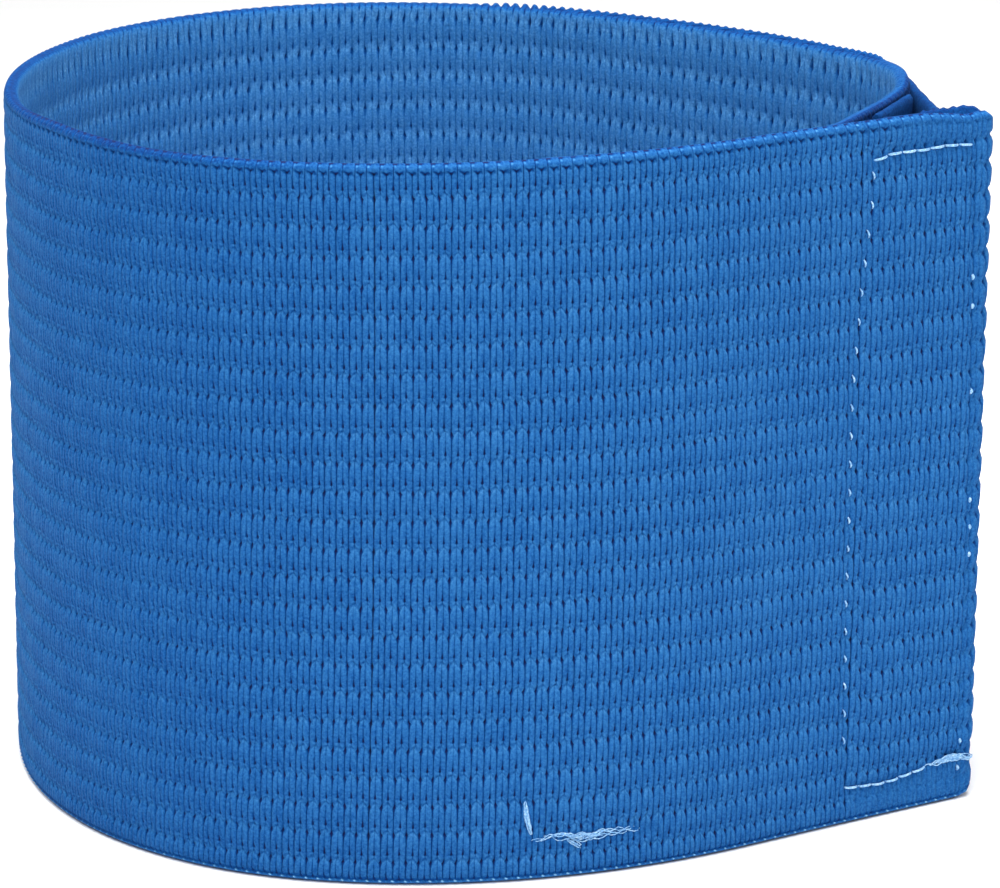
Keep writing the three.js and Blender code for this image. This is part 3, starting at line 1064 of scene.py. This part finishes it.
def sewing_threads():
    """The box stitch at the hem with the tack at its foot, and the tack near the front's foot."""
    material = thread_material()
    box = lockstitches(BOX_TOP_LINE, radius=0.14, seed=1)
    box += lockstitches(BOX_FOOT_LINE, radius=0.13, seed=2)
    box += frayed_strands(BOX_FOOT_TACK, strands=18, spread=0.34, sway=0.10, lift=0.84, radius=0.055, seed=3)
    thread_tubes("box_stitch_lines", box, material)
    rows = [OUTER_SECOND_RIB + OUTER_RIB_PITCH * (1 - rib) for rib in range(1, OUTER_RIBS)]
    lowest, highest = LEFT_SPOTS_BETWEEN
    left = [row + SPOT_OVER_RIB for row in rows if lowest < row < highest]
    spots = seam_spots(BOX_LEFT_LINE, left, lift=0.80, radius=0.10, tall=0.9, slant=0.25)
    spots += seam_spots(BOX_RIGHT_LINE, SUNKEN_SPOTS, lift=0.70, radius=0.18, tall=0.6, slant=0.05)
    thread_tubes("box_stitch_sides", spots, material)
    tack = frayed_strands(TACK_LINE, strands=11, spread=0.42, sway=0.20, lift=0.92, radius=0.052, seed=4)
    tack += frayed_strands(TACK_UPRIGHT, strands=12, spread=0.22, sway=0.02, lift=0.82, radius=0.07, seed=5)
    tack += frayed_strands(TACK_TUFT, strands=10, spread=0.26, sway=0.02, lift=0.84, radius=0.05, seed=6)
    thread_tubes("end_tack", tack, material)


def build_band():
    """The eight lengths of knit, one after the other from the cut end inside the hem."""
    knit = knit_material()
    first = 0
    for spec in BAND_PIECES:
        piece = band_piece(spec, first)
        piece.data.materials.append(knit)
        first += spec["stitches"]


def build_tapes():
    """The hook tape behind the hem and the loop tape just past the nose."""
    nap = tape_material()
    hook = tape_piece("napped_hook_tape", hook_chain, 0, hook_chain["length"], 0,
                      HOOK_TAPE_EDGES, "hook_tape")
    loop = tape_piece("napped_loop_tape", strip, NOSE_END + LOOP_TAPE_DELAY, LOOP_TAPE_LENGTH,
                      LOOP_TAPE_SEAT, LOOP_TAPE_EDGES, "loop_tape")
    hook.data.materials.append(nap)
    loop.data.materials.append(nap)


# The floor's size and how far it lies under the part, in metres; and the camera's place, its pitch under the
# level and its roll, in degrees
FLOOR_SIZE = 6.0
FLOOR_UNDER = 0.0002
LAMP_AIM = (0, 0, 0.035)
CAMERA_PLACE = (0.001657, -0.480661, 0.16226)
CAMERA_PITCH = 15.03
CAMERA_ROLL = -1.114
SENSOR_WIDTH = 36.0
FOCAL_LENGTH = 160.8


def studio():
    """Pale floor, soft light from above and in front, and the camera at the photograph's angle."""
    bpy.ops.mesh.primitive_plane_add(size=FLOOR_SIZE)
    floor = bpy.context.active_object
    floor.name = "studio_floor"
    floor.location.z = -FLOOR_UNDER
    material, _, shader = new_material("pale_floor")
    shader.inputs["Base Color"].default_value = (0.93, 0.93, 0.93, 1)
    shader.inputs["Roughness"].default_value = 1.0
    floor.data.materials.append(material)

    world = bpy.data.worlds.new("soft_studio")
    bpy.context.scene.world = world
    world.use_nodes = True
    background = world.node_tree.nodes["Background"]
    background.inputs["Color"].default_value = (1, 1, 1, 1)
    background.inputs["Strength"].default_value = 0.5

    lamps = [
        {"name": "key", "place": (-0.1, -1.0, 1.4), "size": 1.0, "power": 19.0},
        {"name": "fill", "place": (0.9, -0.7, 0.6), "size": 1.0, "power": 1.5},
        {"name": "overhead", "place": (0.0, -0.02, 0.5), "size": 0.3, "power": 3.0},
    ]
    for lamp in lamps:
        light = bpy.data.lights.new(lamp["name"], "AREA")
        light.size = lamp["size"]
        light.energy = lamp["power"]
        lamp_object = bpy.data.objects.new(lamp["name"], light)
        lamp_object.location = lamp["place"]
        aim = Vector(LAMP_AIM) - Vector(lamp["place"])
        lamp_object.rotation_euler = aim.to_track_quat("-Z", "Y").to_euler()
        bpy.context.scene.collection.objects.link(lamp_object)

    camera_data = bpy.data.cameras.new("camera")
    camera_data.sensor_width = SENSOR_WIDTH
    camera_data.lens = FOCAL_LENGTH
    camera = bpy.data.objects.new("camera", camera_data)
    camera.location = CAMERA_PLACE
    pitch = Euler((math.radians(90 - CAMERA_PITCH), 0, 0)).to_matrix()
    roll = Euler((0, 0, math.radians(CAMERA_ROLL))).to_matrix()
    camera.rotation_euler = (pitch @ roll).to_euler()
    bpy.context.scene.collection.objects.link(camera)
    bpy.context.scene.camera = camera
    bpy.context.scene.view_settings.view_transform = "Standard"


studio()
build_band()
build_tapes()
sewing_threads()
